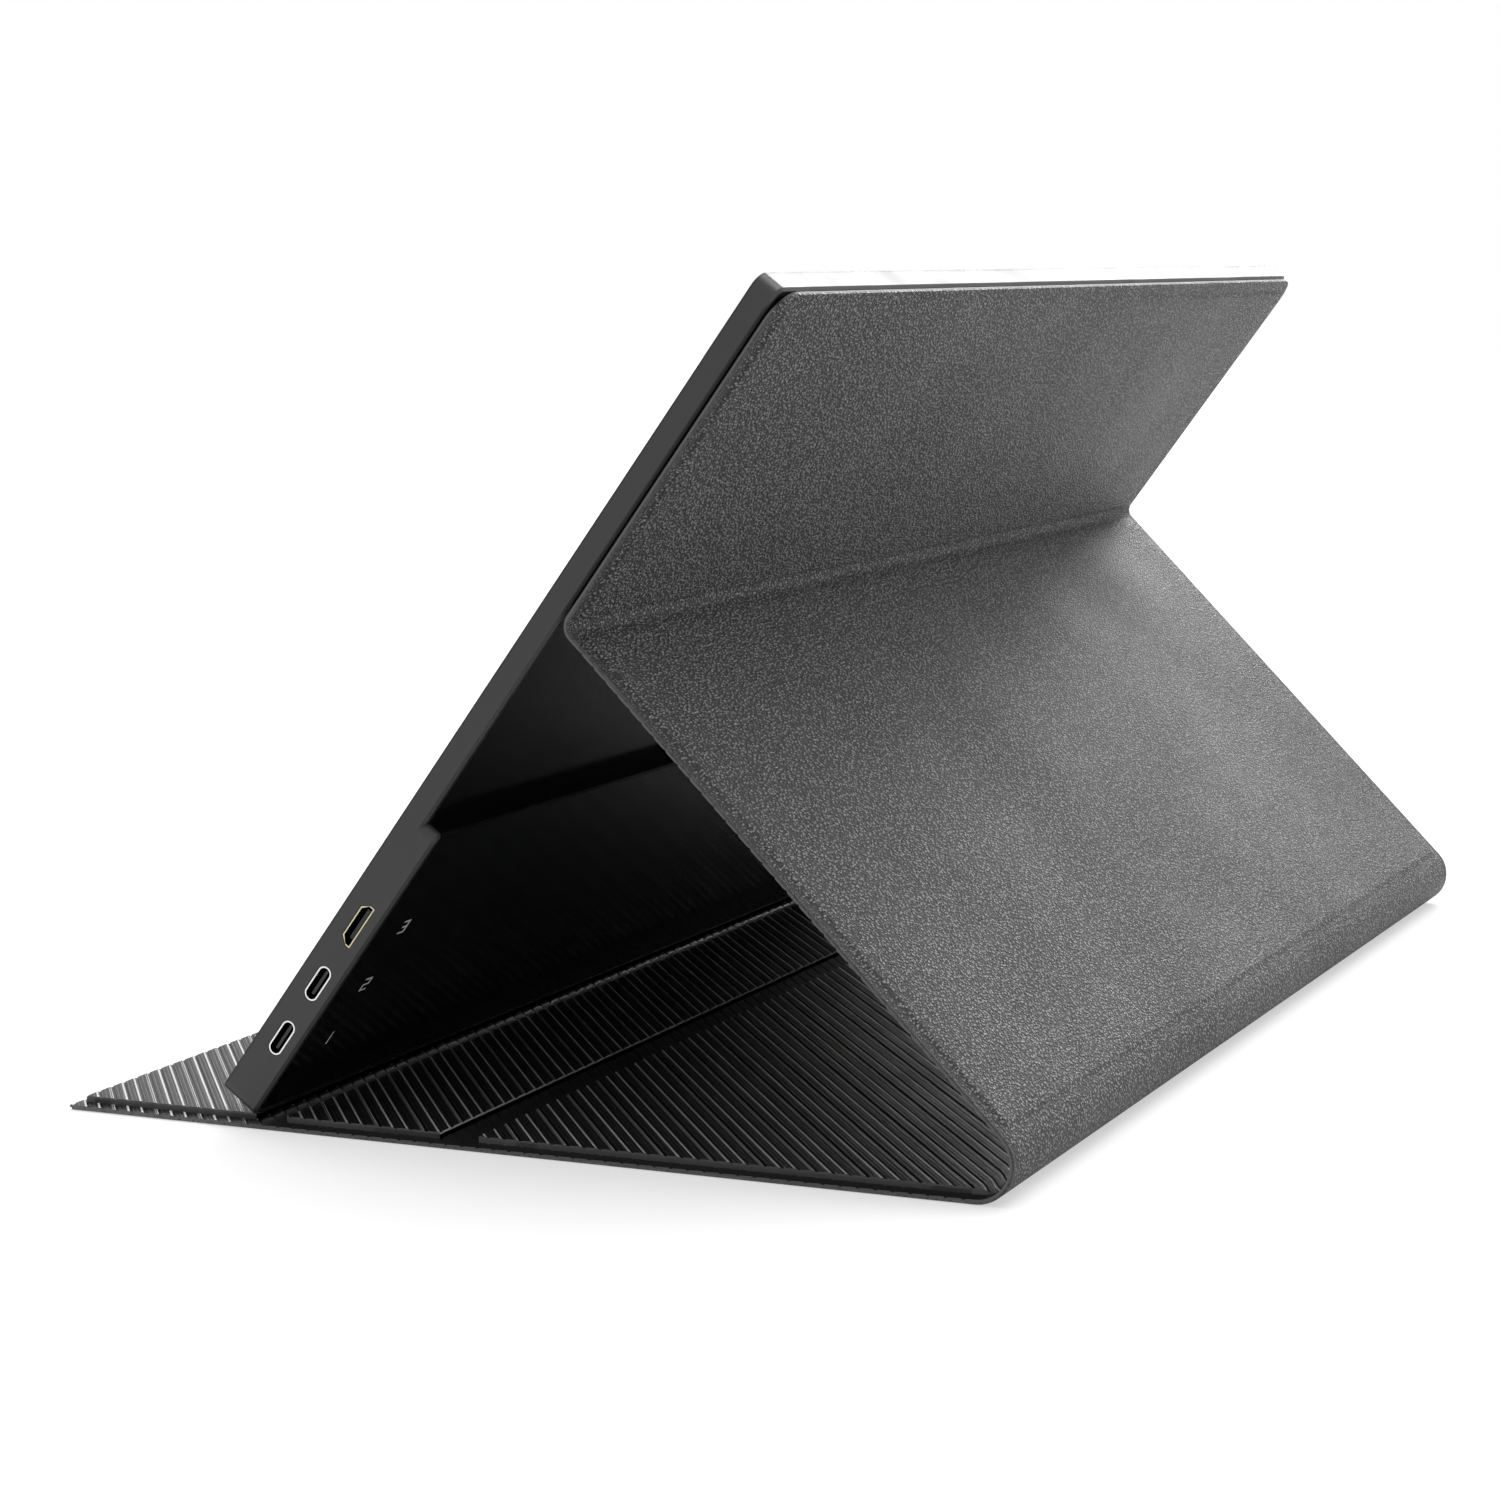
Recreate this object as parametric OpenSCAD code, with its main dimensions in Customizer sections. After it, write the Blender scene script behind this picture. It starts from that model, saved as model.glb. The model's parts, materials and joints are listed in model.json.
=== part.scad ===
// Portable monitor standing in its folding cover.
// +Z is up, the screen faces -Y and the ports are on the +X side.
// The origin lies on the desk, below the middle of the footprint.

/* [Stand] */
// How far the monitor leans back from upright, in degrees
lean = 37.1; // [34:0.1:40]
// Rise of the slanted support panel from the desk, in degrees
support_rise = 45.7; // [43:0.1:48]
// Depth of the base, from the free edge to the middle of the spine bend
base_len = 220; // [216:1:226]
// Outer radius of the soft spine bend
spine_r = 8.6; // [7:0.2:10]
// Distance from the spine bend to the front lower corner of the monitor
foot_reach = 179.5; // [178:0.1:180]
// Height of the monitor's lowest edge above the desk
foot_clear = 2.6; // [2.6:0.1:4]

/* [Cover] */
// Width of the cover
cover_w = 356; // [340:1:360]
// Thickness of the outer skin
skin_t = 0.5; // [0.4:0.1:0.6]
// Thickness of the ribbed liner
liner_t = 0.5; // [0.4:0.1:0.6]
// Thickness of the stiff boards
board_t = 1.4; // [1.0:0.1:1.6]
// Flat seam around the boards
seam = 4; // [3:0.5:6]
// Width of a soft hinge between two boards
crease_w = 8.6; // [7:0.2:10]
// Width of the front crease, in which the monitor's foot stands
front_crease_w = 7; // [6:0.2:8]
// Distance from the spine bend to the middle of the rear crease
rear_crease_at = 121; // [118:0.5:124]
// Distance from the spine bend to the middle of the front crease
front_crease_at = 168.7; // [168:0.1:169]
// Corner radius of the cover's free edge on the desk
flap_corner = 1; // [0.5:0.5:6]
// Radius of the cover's upper corners, behind the monitor
back_corner = 7; // [3:0.5:10]

/* [Ribs] */
// Distance from one liner rib to the next
rib_pitch = 3; // [2.5:0.1:6]
// Width of the groove between two ribs
rib_gap = 0.6; // [0.4:0.1:1]
// Depth of the groove
rib_depth = 0.25; // [0.1:0.05:0.3]
// Direction of the ribs, in degrees from the fold lines
rib_angle = 39; // [20:1:60]

/* [Monitor] */
// Width of the monitor
monitor_w = 355; // [340:1:358]
// Height of the monitor, measured along its own face
monitor_h = 223; // [215:1:230]
// Thickness of the upper part
thin_t = 5.5; // [5.2:0.1:5.6]
// Thickness of the lower part, which holds the electronics
thick_t = 9.6; // [9.4:0.1:11]
// Height of the lower part
thick_h = 82.5; // [78:0.5:90]
// Bevel along the back edges
bevel = 0.6; // [0.3:0.1:0.8]
// Corner radius of the monitor
corner_r = 3; // [2.4:0.2:4]
// Wall of the frame
wall = 1.8; // [1.4:0.1:2]
// Width of the visible picture
picture_w = 344.2; // [330:0.1:345]
// Height of the visible picture
picture_h = 193.6; // [185:0.1:195]
// Black border above the picture
top_border = 6; // [5:0.5:8]

/* [Ports] */
// Depth of the port centres behind the screen side
port_depth = 5.3; // [5.2:0.05:5.5]
// Height of the lower USB-C port along the monitor
usb_low = 20.2; // [16:0.1:24]
// Height of the upper USB-C port
usb_high = 36.3; // [32:0.1:40]
// Height of the small video port
video_at = 53.5; // [50:0.1:60]
// Height of the audio jack on the other side
jack_at = 12.5; // [10:0.5:14]
// Height of the power button on the other side
power_at = 36; // [32:0.5:40]
// Height of the menu rocker on the other side
rocker_at = 58; // [55:0.5:62]

/* [Hidden] */
$fn = 48;
// A sliver added so that cutting shapes pass through faces
eps = 0.01;

// Sheet of the cover: a seam is skin and liner, a panel also has its board
seam_t = skin_t + liner_t;
panel_t = seam_t + board_t;
// Height by which a board lifts the skin on the two standing panels
emboss = 0.5;
// Wall of liner that closes a board's end at a crease
board_lip = 0.5;

// Positions along Y, from the free edge at the front to the spine bend
spine_y = (base_len - spine_r) / 2;
free_edge_y = spine_y - base_len;
rear_crease_y = spine_y - rear_crease_at;
front_crease_y = spine_y - front_crease_at;
// Short flat tail between the spine bend and a panel
tail = 1.5;
// Air left where a soft bend meets a panel that turns on it
bend_gap = 0.02;

// Front lower corner of the monitor, from the height of its lowest edge
foot_y = spine_y - foot_reach;
foot_z = foot_clear + (thick_t - bevel) * sin(lean);
// Direction along the monitor's face, and its depth direction, as [y, z]
face_dir = [sin(lean), cos(lean)];
depth_dir = [cos(lean), -sin(lean)];
// Depth of the seam's outer face behind the screen side, on the back panel
cover_depth = thin_t + 0.05 + panel_t - emboss;

// Where the support panel leaves the spine bend, and its direction
support_dir = [-cos(support_rise), sin(support_rise)];
support_foot = [
    spine_y + spine_r * sin(support_rise),
    spine_r + spine_r * cos(support_rise)
];
// The fold is where the support panel's outer face meets the back panel's
foot_to_support = support_foot - [foot_y, foot_z];
support_len = (foot_to_support * depth_dir - cover_depth)
    / -(support_dir * depth_dir);
fold = support_foot + support_len * support_dir;
fold_u = (fold - [foot_y, foot_z]) * face_dir;
// Angle of the valley between the two outer faces
valley = acos(-(support_dir * face_dir));
// Small radius at the bottom of the valley, and its centre
valley_r = 2.8;
valley_mid = fold + valley_r / sin(valley / 2)
    * [cos(90 - lean - valley / 2), sin(90 - lean - valley / 2)];

// Depth layers of the display, behind the screen side
glass_front = 0.9;
sheet_front = 1.95;
guide_front = 2.2;
tray_front = 3.1;
tray_back = 3.35;
// The rear cover's inner faces
thin_inside = thin_t - 1;
thick_inside = thick_t - 1;
// Middle of the picture, from the lower edge
picture_mid = monitor_h - top_border - picture_h / 2;
side_x = monitor_w / 2;

// Colours
satin_grey = [0.20, 0.20, 0.21];
gloss_black = [0.03, 0.03, 0.035];
leather_grey = [0.30, 0.30, 0.31];
liner_grey = [0.16, 0.16, 0.17];
board_brown = [0.45, 0.38, 0.30];
steel = [0.72, 0.73, 0.75];
board_green = [0.08, 0.32, 0.18];

// Draws in the monitor's own frame: X across, Y up its face, Z out of the screen
module in_monitor() {
    translate([0, foot_y, foot_z])
        rotate([90 - lean, 0, 0])
            children();
}

// Extrudes a 2D shape between two depths behind the screen side
module depth(from, to) {
    translate([0, 0, -to])
        linear_extrude(to - from)
            children();
}

// Extrudes along X a 2D shape drawn as [up the face, -depth]
module along_x(from, to) {
    translate([from, 0, 0])
        rotate([90, 0, 90])
            linear_extrude(to - from)
                children();
}

// Rectangle standing on Y = 0, centred on X, with its own radius at each end
module plate_2d(w, h, low_r, high_r) {
    for (s = [-1, 1]) {
        translate([s * (w / 2 - low_r), low_r])
            circle(low_r);
        translate([s * (w / 2 - high_r), h - high_r])
            circle(high_r);
    }
    translate([-w / 2, low_r])
        square([w, h - low_r - high_r]);
    translate([-w / 2 + low_r, 0])
        square([w - 2 * low_r, low_r + eps]);
    translate([-w / 2 + high_r, h - high_r - eps])
        square([w - 2 * high_r, high_r + eps]);
}

// Rectangle between two heights, centred on X
module band_2d(w, from, to) {
    translate([-w / 2, from])
        square([w, to - from]);
}

// Rounded slot of a given length and height, centred
module slot_2d(length, height) {
    for (s = [-1, 1])
        translate([s * (length - height) / 2, 0])
            circle(height / 2);
    square([length - height, height], center = true);
}

// Slab with a bevelled back edge, made of straight prisms and corner cones
module bevelled_slab(w, h, r_low, r_high, from, to, c) {
    depth(from, to - c)
        plate_2d(w, h, r_low, r_high);
    translate([0, 0, -to]) {
        for (s = [-1, 1]) {
            translate([s * (w / 2 - r_low), r_low, 0])
                cylinder(h = c, r1 = r_low - c, r2 = r_low);
            translate([s * (w / 2 - r_high), h - r_high, 0])
                cylinder(h = c, r1 = r_high - c, r2 = r_high);
        }
        // Bevels of the lower and upper edges
        translate([-w / 2 + r_low, 0, 0])
            rotate([90, 0, 90])
                linear_extrude(w - 2 * r_low)
                    polygon([[c, 0], [h / 2, 0], [h / 2, c], [0, c]]);
        translate([-w / 2 + r_high, 0, 0])
            rotate([90, 0, 90])
                linear_extrude(w - 2 * r_high)
                    polygon([[h / 2, 0], [h - c, 0], [h, c], [h / 2, c]]);
        // Bevels of the two sides
        translate([0, h - r_high, 0])
            rotate([90, 0, 0])
                linear_extrude(h - r_low - r_high)
                    polygon([[-w / 2 + c, 0], [w / 2 - c, 0], [w / 2, c], [-w / 2, c]]);
    }
}

// Whole outside of the monitor behind the bezel: thin slab and thick lower block
module monitor_outside() {
    bevelled_slab(monitor_w, monitor_h, corner_r, corner_r, 0.4, thin_t, bevel);
    bevelled_slab(monitor_w, thick_h, corner_r, corner_r - 0.5, 1, thick_t, bevel);
}

// Outline of the space inside the frame's wall
module inside_2d(gap) {
    translate([0, wall + gap])
        plate_2d(monitor_w - 2 * (wall + gap), monitor_h - 2 * (wall + gap), 1.2, 1.2);
}

// Outline of a USB-C shell and of the small video shell, as [up the face, -depth]
module usb_2d(grow) {
    slot_2d(9.1 + 2 * grow, 3.4 + 2 * grow);
}

module video_2d(grow) {
    // The long side faces the back; the corners at the screen side are cut
    half_long = 5.6 + grow;
    half_short = 4.1 + grow;
    half_t = 1.5 + grow;
    polygon([
        [-half_long, -half_t], [half_long, -half_t], [half_long, -half_t + 1.1],
        [half_short, half_t], [-half_short, half_t], [-half_long, -half_t + 1.1]
    ]);
}

// Places a shape at a port or key, given its height along the monitor
module at_side(height) {
    translate([0, height, -port_depth])
        children();
}

module mid_frame() {
    color(satin_grey)
        in_monitor()
            difference() {
                monitor_outside();
                depth(-1, thick_t + 1)
                    inside_2d(0);
                // Ports on the +X side
                for (height = [usb_low, usb_high])
                    at_side(height)
                        along_x(side_x - 3, side_x + 1)
                            usb_2d(0.15);
                at_side(video_at)
                    along_x(side_x - 3, side_x + 1)
                        video_2d(0.15);
                // Jack, power button and rocker on the -X side
                at_side(jack_at)
                    along_x(-side_x - 1, -side_x + 3)
                        circle(2.6);
                at_side(power_at)
                    along_x(-side_x - 1, -side_x + 3)
                        slot_2d(12.6, 3.1);
                at_side(rocker_at)
                    along_x(-side_x - 1, -side_x + 3)
                        slot_2d(18.8, 3.3);
                // Sound slots in the lower edge, below each speaker
                for (side = [-1, 1], i = [0 : 5])
                    translate([side * (45 + i * 10), -1, -port_depth])
                        rotate([-90, 0, 0])
                            linear_extrude(4)
                                slot_2d(7, 1.2);
            }
}

module rear_cover() {
    color(gloss_black)
        in_monitor()
            difference() {
                intersection() {
                    monitor_outside();
                    depth(thin_inside, thick_t + 1)
                        inside_2d(0.05);
                }
                depth(thin_inside - 1, thick_inside)
                    band_2d(monitor_w, 0, thick_h - 1.5);
            }
}

module front_bezel() {
    color(gloss_black)
        in_monitor()
            difference() {
                union() {
                    depth(0, 0.4)
                        plate_2d(monitor_w, monitor_h, corner_r, corner_r);
                    depth(0.4 - eps, glass_front)
                        inside_2d(0.05);
                }
                translate([0, picture_mid - picture_h / 2 - 0.4])
                    depth(-1, 2)
                        plate_2d(picture_w + 0.8, picture_h + 0.8, 0.5, 0.5);
            }
}

module lcd_panel() {
    color([0.02, 0.02, 0.03])
        in_monitor()
            depth(glass_front, glass_front + 1)
                band_2d(350.6, picture_mid - picture_h / 2 - 6, monitor_h - wall - 0.4);
}

module optical_sheets() {
    color([0.92, 0.93, 0.95])
        in_monitor()
            depth(sheet_front, guide_front)
                band_2d(picture_w + 3, picture_mid - picture_h / 2 - 1.5, picture_mid + picture_h / 2 + 1.5);
}

module light_guide() {
    color([0.85, 0.92, 0.95])
        in_monitor()
            depth(guide_front, tray_front)
                band_2d(picture_w + 3, picture_mid - picture_h / 2 - 1.5, picture_mid + picture_h / 2 + 1.5);
}

module back_tray() {
    low = picture_mid - picture_h / 2 - 5.5;
    high = picture_mid + picture_h / 2 + 2;
    color(steel)
        in_monitor()
            difference() {
                depth(sheet_front, tray_back)
                    band_2d(picture_w + 5, low, high);
                depth(sheet_front - 1, tray_front)
                    band_2d(picture_w + 4, low + 0.3, high - 0.3);
            }
}

module led_bar() {
    low = picture_mid - picture_h / 2 - 5;
    color([0.95, 0.93, 0.80])
        in_monitor() {
            depth(guide_front, tray_front)
                band_2d(picture_w, low, low + 1);
            // Lamps face up into the guide
            for (i = [-20 : 20])
                depth(guide_front + 0.1, tray_front - 0.1)
                    translate([i * 8.4 - 1.5, low + 1])
                        square([3, 0.9]);
        }
}

module panel_board() {
    color(board_green)
        in_monitor() {
            depth(2.3, 3.1)
                band_2d(240, 4, 13.5);
            // Driver chips
            for (x = [-90, -30, 30, 90])
                depth(1.5, 2.3)
                    translate([x - 5, 6])
                        square([10, 4]);
        }
}

module panel_flex() {
    // Flat tails from the glass to the narrow board, and one to the main board
    color([0.75, 0.45, 0.12])
        in_monitor() {
            for (x = [-78, 0, 78])
                depth(1.95, 2.15)
                    translate([x - 8, 10.5])
                        square([16, 7]);
            depth(3.12, 3.3)
                translate([110, 6])
                    square([9, 5]);
            depth(3.12, 7.1)
                translate([110, 5.6])
                    square([9, 0.4]);
            depth(6.9, 7.1)
                translate([110, 5.6])
                    square([9, 12]);
        }
}

module main_board() {
    color(board_green)
        in_monitor() {
            difference() {
                depth(7.2, 8.2)
                    translate([104, 8])
                        square([70, 68]);
                for (x = [108, 166], u = [12, 72])
                    translate([x, u, -9])
                        cylinder(h = 3, d = 1.8);
            }
            // Scaler, power parts and connectors on the screen side of the board
            depth(5.8, 7.2)
                translate([118, 34])
                    square([16, 16]);
            depth(6.0, 7.2)
                translate([112, 56])
                    square([10, 10]);
            for (i = [0 : 3])
                translate([146, 40 + i * 9, -7.2])
                    cylinder(h = 2.6, d = 5);
            depth(5.4, 7.2)
                translate([106, 20])
                    square([4, 22]);
        }
}

module board_screws() {
    color(steel)
        in_monitor()
            for (x = [108, 166], u = [12, 72])
                translate([x, u, -8.45]) {
                    cylinder(h = 0.25, d = 3.4);
                    translate([0, 0, 0.25])
                        cylinder(h = 3.4, d = 1.6);
                }
}

// Metal shell of a port, open towards +X and closed by a thin back wall
module port_shell(height, length) {
    color(steel)
        in_monitor()
            at_side(height)
                difference() {
                    along_x(side_x - 0.1 - length, side_x - 0.1)
                        children(0);
                    along_x(side_x - 0.1 - length + 0.4, side_x + 1)
                        children(1);
                }
}

module usb_c_shell(height) {
    port_shell(height, 7.4) {
        usb_2d(0);
        usb_2d(-0.35);
    }
}

module usb_c_tongue(height) {
    color([0.12, 0.12, 0.13])
        in_monitor()
            at_side(height)
                along_x(side_x - 7.1, side_x - 1)
                    slot_2d(6.7, 0.7);
}

module usb_c_shell_low() {
    usb_c_shell(usb_low);
}

module usb_c_tongue_low() {
    usb_c_tongue(usb_low);
}

module usb_c_shell_high() {
    usb_c_shell(usb_high);
}

module usb_c_tongue_high() {
    usb_c_tongue(usb_high);
}

module video_shell() {
    port_shell(video_at, 7.6) {
        video_2d(0);
        video_2d(-0.3);
    }
}

module video_tongue() {
    color([0.12, 0.11, 0.09])
        in_monitor()
            at_side(video_at)
                translate([0, 0, -0.2])
                    along_x(side_x - 7.3, side_x - 1.2)
                        square([8.2, 0.8], center = true);
}

module audio_jack() {
    color([0.10, 0.10, 0.11])
        in_monitor()
            at_side(jack_at)
                difference() {
                    union() {
                        along_x(-side_x + 2, -side_x + 14)
                            square([6.4, 3.8], center = true);
                        along_x(-side_x + 0.1, -side_x + 2 + eps)
                            circle(2.5);
                        along_x(-side_x + 2, -side_x + 14)
                            circle(2.5);
                    }
                    along_x(-side_x - 1, -side_x + 13)
                        circle(1.8);
                }
}

// Key cap with a plate behind the wall that keeps it in
module side_key(height, length, thick, out) {
    at_side(height) {
        along_x(-side_x - out, -side_x + wall + 0.6)
            slot_2d(length, thick);
        along_x(-side_x + wall + 0.6 - eps, -side_x + wall + 1.2)
            slot_2d(length + 2.4, thick + 0.6);
    }
}

module power_button() {
    color(satin_grey)
        in_monitor()
            side_key(power_at, 12.2, 2.7, 0.45);
}

module menu_rocker() {
    color(satin_grey)
        in_monitor()
            difference() {
                side_key(rocker_at, 18, 2.7, 0.45);
                // Shallow dip that parts the two ends
                at_side(rocker_at)
                    along_x(-side_x - 1, -side_x - 0.15)
                        square([2.4, 4], center = true);
            }
}

module button_board() {
    color(board_green)
        in_monitor()
            translate([-side_x + wall + 4.2, 0, 0])
                depth(4.2, 7)
                    translate([0, 28])
                        square([0.8, 42]);
}

module button_switches() {
    // One switch behind the power button and one behind each end of the rocker
    color([0.82, 0.82, 0.80])
        in_monitor()
            for (height = [power_at, rocker_at - 6, rocker_at + 6])
                at_side(height) {
                    along_x(-side_x + wall + 2.3, -side_x + wall + 4.2)
                        square([4, 2.4], center = true);
                    along_x(-side_x + wall + 1.75, -side_x + wall + 2.3 + eps)
                        circle(0.7);
                }
}

module button_cable() {
    // Flat cable along the lower housing, from the button board to the main board
    color([0.75, 0.45, 0.12])
        in_monitor() {
            depth(6.9, 7.1)
                translate([-side_x + wall + 5, 66])
                    square([280, 3]);
        }
}

module speaker(side) {
    color([0.14, 0.14, 0.15])
        in_monitor() {
            difference() {
                depth(4, 8.2)
                    translate([side * 70 - 30, 4])
                        square([60, 16]);
                translate([side * 70, 12, -4.6])
                    linear_extrude(2)
                        slot_2d(40, 10);
            }
            // Soft cone in the opening
            translate([side * 70, 12, -4.9])
                linear_extrude(0.3 + eps)
                    slot_2d(36, 7);
        }
}

module speaker_left() {
    speaker(-1);
}

module speaker_right() {
    speaker(1);
}

module steel_strips() {
    // Thin steel that the cover's magnets hold on to
    color(steel)
        in_monitor()
            for (s = [-1, 1])
                depth(3.5, 4.4)
                    translate([s * 88 - 62, monitor_h - 52])
                        square([124, 24]);
}

// Outline of a panel of the cover between two positions along the sheet
module panel_2d(from, to, low_r, high_r) {
    translate([0, from])
        if (low_r > 0 || high_r > 0)
            plate_2d(cover_w, to - from, max(low_r, 0.05), max(high_r, 0.05));
        else
            band_2d(cover_w, 0, to - from);
}

// Grooves between the diagonal ribs, over a stretch of the sheet
module rib_grooves(from, to) {
    reach = cover_w / 2 * sin(rib_angle);
    first = floor((from * cos(rib_angle) - reach) / rib_pitch);
    last = ceil((to * cos(rib_angle) + reach) / rib_pitch);
    run = cover_w / 2 * cos(rib_angle) + max(abs(from), abs(to)) * sin(rib_angle);
    translate([0, 0, panel_t - rib_depth])
        linear_extrude(1)
            rotate(rib_angle)
                for (i = [first : last])
                    translate([-run, i * rib_pitch])
                        square([2 * run, rib_gap]);
}

// Stiff board of a panel, between two positions along the sheet
module panel_board_2d(from, to, grow) {
    band_2d(cover_w - 2 * seam + 2 * grow, from - grow, to + grow);
}

// Skin of a panel: a flat sheet, lifted over the board by the given height
module panel_skin(from, to, b_from, b_to, lift, low_r = 0, high_r = 0) {
    color(leather_grey)
        difference() {
            union() {
                translate([0, 0, lift])
                    linear_extrude(skin_t)
                        panel_2d(from, to, low_r, high_r);
                if (lift > 0)
                    linear_extrude(lift + eps)
                        panel_board_2d(b_from, b_to, board_lip);
            }
            if (lift > 0)
                translate([0, 0, skin_t])
                    linear_extrude(board_t)
                        panel_board_2d(b_from, b_to, 0);
        }
}

// Liner of a panel: a flat seam, and a ribbed tray over the board
module panel_liner(from, to, b_from, b_to, lift, low_r = 0, high_r = 0) {
    color(liner_grey)
        difference() {
            union() {
                translate([0, 0, lift + skin_t])
                    linear_extrude(liner_t)
                        panel_2d(from, to, low_r, high_r);
                translate([0, 0, lift + skin_t])
                    linear_extrude(panel_t - lift - skin_t)
                        panel_board_2d(b_from, b_to, board_lip);
            }
            translate([0, 0, skin_t])
                linear_extrude(board_t)
                    panel_board_2d(b_from, b_to, 0);
            rib_grooves(b_from, b_to);
        }
}

module panel_core(b_from, b_to) {
    color(board_brown)
        translate([0, 0, skin_t])
            linear_extrude(board_t)
                panel_board_2d(b_from, b_to, 0);
}

// The three panels of the base lie on the desk
rear_from = rear_crease_y + crease_w / 2;
rear_to = spine_y - tail;
mid_from = front_crease_y + front_crease_w / 2;
mid_to = rear_crease_y - crease_w / 2;
front_to = front_crease_y - front_crease_w / 2;

module rear_skin() {
    panel_skin(rear_from, rear_to, rear_from + board_lip, rear_to - board_lip, 0);
}

module rear_board() {
    panel_core(rear_from + board_lip, rear_to - board_lip);
}

module rear_liner() {
    panel_liner(rear_from, rear_to, rear_from + board_lip, rear_to - board_lip, 0);
}

module mid_skin() {
    panel_skin(mid_from, mid_to, mid_from + board_lip, mid_to - board_lip, 0);
}

module mid_board() {
    panel_core(mid_from + board_lip, mid_to - board_lip);
}

module mid_liner() {
    panel_liner(mid_from, mid_to, mid_from + board_lip, mid_to - board_lip, 0);
}

module front_skin() {
    panel_skin(free_edge_y, front_to, free_edge_y + seam, front_to - board_lip, 0, flap_corner, 0);
}

// Magnets sit in pockets through the front panel's board
module front_magnets_2d(grow) {
    for (s = [-1, 1])
        translate([s * 120 - 12 - grow, free_edge_y + 12 - grow])
            square([24 + 2 * grow, 8 + 2 * grow]);
}

module front_board() {
    difference() {
        panel_core(free_edge_y + seam, front_to - board_lip);
        linear_extrude(panel_t)
            front_magnets_2d(0.1);
    }
}

module front_magnets() {
    color(steel)
        translate([0, 0, skin_t])
            linear_extrude(board_t)
                front_magnets_2d(0);
}

module front_liner() {
    panel_liner(free_edge_y, front_to, free_edge_y + seam, front_to - board_lip, 0, flap_corner, 0);
}

// Soft hinge of the base: only skin and liner
module crease(middle, width) {
    color(leather_grey)
        linear_extrude(seam_t)
            panel_2d(middle - width / 2, middle + width / 2, 0, 0);
}

module rear_crease() {
    crease(rear_crease_y, crease_w);
}

module front_crease() {
    crease(front_crease_y, front_crease_w);
}

// Draws along X a 2D shape given as [y, z]
module across() {
    translate([-cover_w / 2, 0, 0])
        rotate([90, 0, 90])
            linear_extrude(cover_w)
                children();
}

// Ring sector between two radii and two angles, centred on a point
module ring_2d(centre, r_in, r_out, from, to) {
    translate(centre)
        intersection() {
            difference() {
                circle(r_out, $fn = 96);
                circle(r_in, $fn = 96);
            }
            polygon([
                [0, 0],
                2 * r_out * [cos(from), sin(from)],
                2 * r_out * [cos((2 * from + to) / 3), sin((2 * from + to) / 3)],
                2 * r_out * [cos((from + 2 * to) / 3), sin((from + 2 * to) / 3)],
                2 * r_out * [cos(to), sin(to)]
            ]);
        }
}

// Layer of the spine: bend between the base and the support panel, with flat tails
module spine_layer(r_in, r_out) {
    across() {
        ring_2d([spine_y, spine_r], r_in, r_out, -90, 90 - support_rise);
        translate([spine_y - tail, spine_r - r_out])
            square([tail + eps, r_out - r_in]);
        translate(support_foot)
            rotate(180 - support_rise)
                translate([-eps, spine_r - r_out])
                    square([tail + eps, r_out - r_in]);
    }
}

module spine_skin() {
    color(leather_grey)
        spine_layer(spine_r - skin_t, spine_r);
}

module spine_liner() {
    color(liner_grey)
        spine_layer(spine_r - seam_t, spine_r - skin_t);
}

// Panel placed on the slanted support, with Y running up from the spine bend
module on_support() {
    translate([0, support_foot[0], support_foot[1]])
        rotate([180 - support_rise, 0, 0])
            translate([0, 0, -emboss])
                children();
}

support_from = tail + bend_gap;
support_to = support_len - crease_w / 2 - bend_gap;

module support_skin() {
    on_support()
        panel_skin(support_from, support_to, support_from + board_lip, support_to - board_lip, emboss);
}

module support_board() {
    on_support()
        panel_core(support_from + board_lip, support_to - board_lip);
}

module support_liner() {
    on_support()
        panel_liner(support_from, support_to, support_from + board_lip, support_to - board_lip, emboss);
}

// Layer of the upper fold: bend round the valley, with a flat tail on each side
module fold_layer(skip, thick) {
    run = valley_r / tan(valley / 2);
    start = 90 - lean + 90;
    across() {
        ring_2d(valley_mid, valley_r + skip, valley_r + skip + thick, start, start + 180 - valley);
        // Tail on the back panel
        translate(fold)
            rotate(90 - lean)
                translate([run - eps, skip])
                    square([crease_w / 2 - run + eps, thick]);
        // Tail on the support panel
        translate(fold)
            rotate(-support_rise)
                translate([run - eps, -skip - thick])
                    square([crease_w / 2 - run + eps, thick]);
    }
}

module fold_skin() {
    color(leather_grey)
        fold_layer(0, skin_t);
}

module fold_liner() {
    color(liner_grey)
        fold_layer(skin_t, liner_t);
}

// Panel placed on the monitor's back, with Y running up the monitor
module on_back() {
    in_monitor()
        translate([0, 0, -cover_depth - emboss])
            children();
}

back_from = fold_u + crease_w / 2 + bend_gap;
back_to = monitor_h;

module back_skin() {
    on_back()
        panel_skin(back_from, back_to, back_from + board_lip, back_to - seam, emboss, 0, back_corner);
}

// Magnets sit in pockets through the back panel's board
module back_magnets_2d(grow) {
    for (x = [-130, -46, 46, 130])
        translate([x - 14 - grow, monitor_h - 44 - grow])
            square([28 + 2 * grow, 8 + 2 * grow]);
}

module back_board() {
    on_back()
        difference() {
            panel_core(back_from + board_lip, back_to - seam);
            linear_extrude(panel_t)
                back_magnets_2d(0.1);
        }
}

module back_magnets() {
    color(steel)
        on_back()
            translate([0, 0, skin_t])
                linear_extrude(board_t)
                    back_magnets_2d(0);
}

module back_liner() {
    on_back()
        panel_liner(back_from, back_to, back_from + board_lip, back_to - seam, emboss, 0, back_corner);
}

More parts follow.
